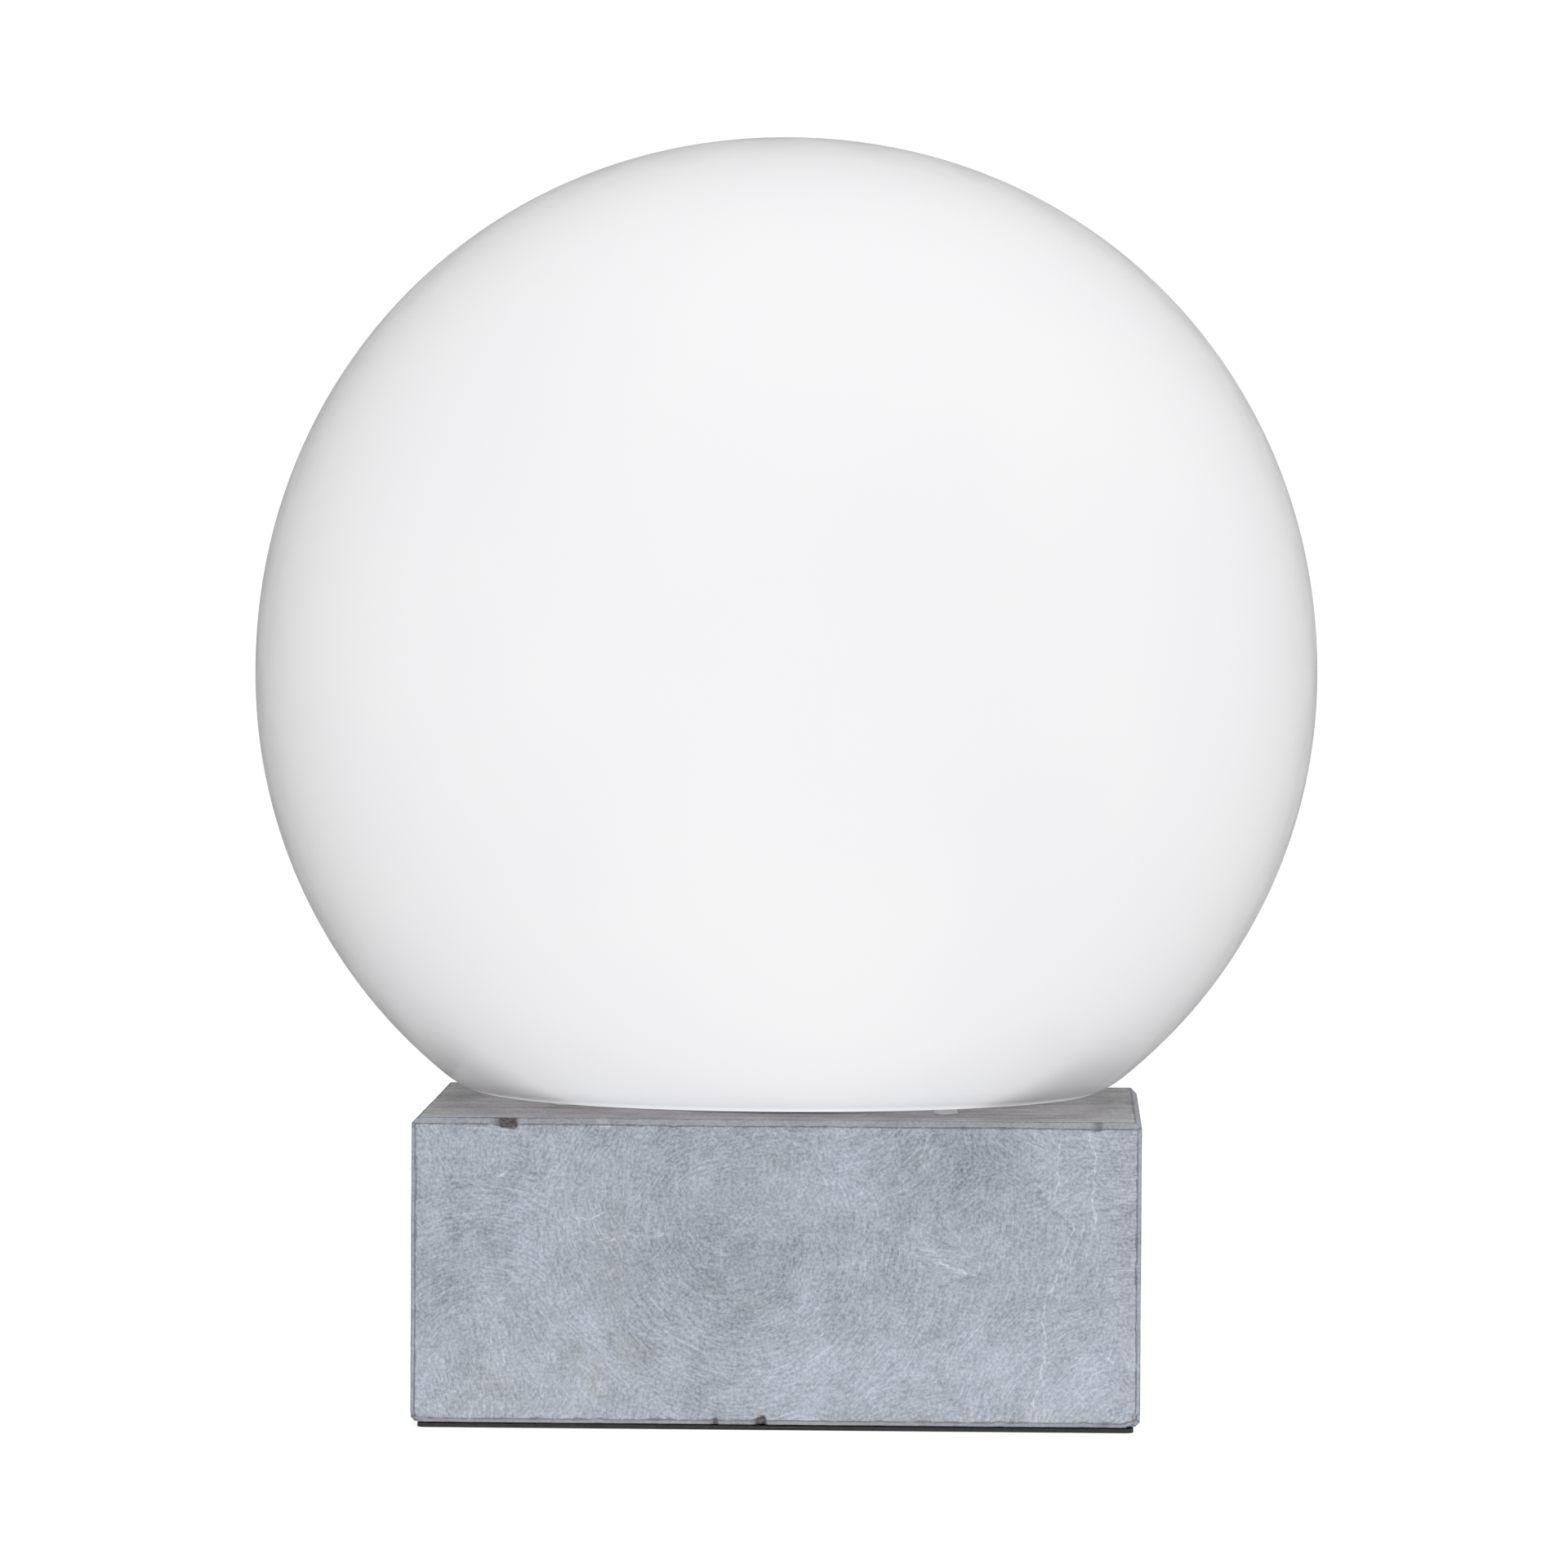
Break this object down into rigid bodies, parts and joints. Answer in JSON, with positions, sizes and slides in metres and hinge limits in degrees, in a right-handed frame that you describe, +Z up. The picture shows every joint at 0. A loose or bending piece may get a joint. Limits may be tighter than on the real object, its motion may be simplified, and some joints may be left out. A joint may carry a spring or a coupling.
{
  "type": "table lamp",
  "caption": "Table lamp with an opal glass globe resting on a rectangular stone block; the globe lifts off and the LED bulb unscrews from its lampholder.",
  "frame": {"origin": "middle of the pad's underside, on the axis shared by globe, lampholder and bulb, at the level the lamp stands on", "axes": "+Z up along the globe's axis, +X to the right along the block's long side, -Y to the front, +Y to the cord's inlet"},
  "size_m": [0.2502, 0.2502, 0.2991],
  "materials": {
    "stone": "honed, matt, with fine grinding marks",
    "pad": "matt foam",
    "black_rubber": "satin",
    "zinc_steel": "zinc plated",
    "white_metal": "satin white powder coat",
    "holder_plastic": "satin white",
    "insert_ceramic": "unglazed",
    "brass": "bright rolled brass",
    "clear_silicone": "clear, smooth",
    "opal_glass": "opal white, satin outside",
    "nickel_cap": "nickel plated, satin",
    "black_glass": "gloss black",
    "tip_metal": "tinned",
    "bulb_plastic": "satin white",
    "board_green": "solder mask",
    "board_white": "white solder mask on aluminium",
    "opal_plastic": "opal white, satin"
  },
  "bodies": {
    "base": {"stone_block": "stone", "base_pad": "pad", "cord_bush": "black_rubber", "threaded_tube": "zinc_steel", "tube_washer": "zinc_steel", "lock_washer": "zinc_steel", "tube_nut_lower": "zinc_steel", "centring_disc": "white_metal", "tube_nut_upper": "zinc_steel", "holder_cap": "holder_plastic", "holder_grub_screw": "zinc_steel", "holder_sleeve": "holder_plastic", "holder_insert": "insert_ceramic", "terminal_screw_live": "brass", "terminal_screw_neutral": "brass", "centre_contact": "brass", "side_contact": "brass", "screw_shell": "brass", "glass_bumper_1": "clear_silicone", "glass_bumper_2": "clear_silicone", "glass_bumper_3": "clear_silicone"},
    "shade": {"opal_globe": "opal_glass"},
    "bulb_seat": {"bulb_tip_contact": "tip_metal"},
    "bulb": {"bulb_insulator": "black_glass", "bulb_cap": "nickel_cap", "bulb_housing": "bulb_plastic", "bulb_driver_board": "board_green", "bulb_led_board": "board_white", "bulb_diffuser": "opal_plastic"}
  },
  "joints": [
    {"name": "shade_lift", "type": "slide", "parent": "base", "child": "shade", "axis": [0, 0, 1], "range_m": [0, 0.17]},
    {"name": "bulb_rise", "type": "slide", "parent": "base", "child": "bulb_seat", "axis": [0, 0, 1], "range_m": [0, 0.0128]},
    {"name": "bulb_turn", "type": "hinge", "parent": "bulb_seat", "child": "bulb", "pos_m": [0, 0, 0.11415], "axis": [0, 0, 1], "range_deg": [0, 1260]}
  ],
  "couplings": [
    {"joint": "bulb_rise", "follows": "bulb_turn", "m_per_rad": 0.00057757}
  ]
}
